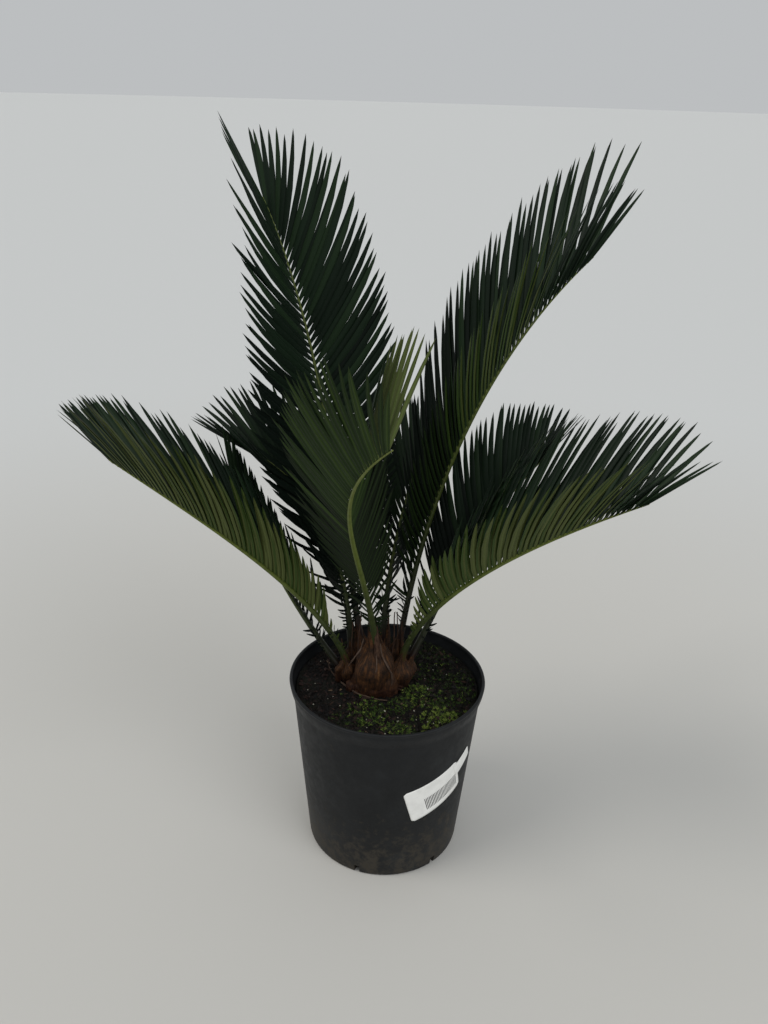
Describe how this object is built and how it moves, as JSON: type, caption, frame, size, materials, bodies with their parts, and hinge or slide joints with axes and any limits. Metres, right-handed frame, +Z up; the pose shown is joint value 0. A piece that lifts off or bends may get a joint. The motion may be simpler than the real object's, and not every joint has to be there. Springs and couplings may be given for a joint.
{
  "type": "potted sago palm",
  "caption": "Young sago palm in a round black nursery pot, with a swollen scaly caudex and stiff arching feather fronds of narrow pointed leaflets.",
  "frame": {"origin": "centre of the pot's flat underside, on the surface that the pot stands on", "axes": "+Z up, -Y towards the viewer of the picture, +X to the viewer's right"},
  "size_m": [0.4435, 0.3323, 0.5452],
  "materials": {
    "pot": "moulded black polypropylene, slightly dusty near the foot",
    "soil": "dark peat and bark potting mix, part covered with green moss",
    "caudex": "dry fibrous red-brown leaf-base scales",
    "frond": "leathery dark green leaflets, satin above and olive below, on a yellow-green rib"
  },
  "bodies": {
    "root": {"pot": "pot", "soil": "soil", "caudex": "caudex", "frond_tall_left": "frond", "frond_tall_right": "frond", "frond_low_right": "frond", "frond_right_rear": "frond", "frond_front": "frond", "frond_low_left": "frond", "frond_left_rear": "frond", "frond_left_middle": "frond", "frond_rear": "frond"}
  },
  "joints": []
}
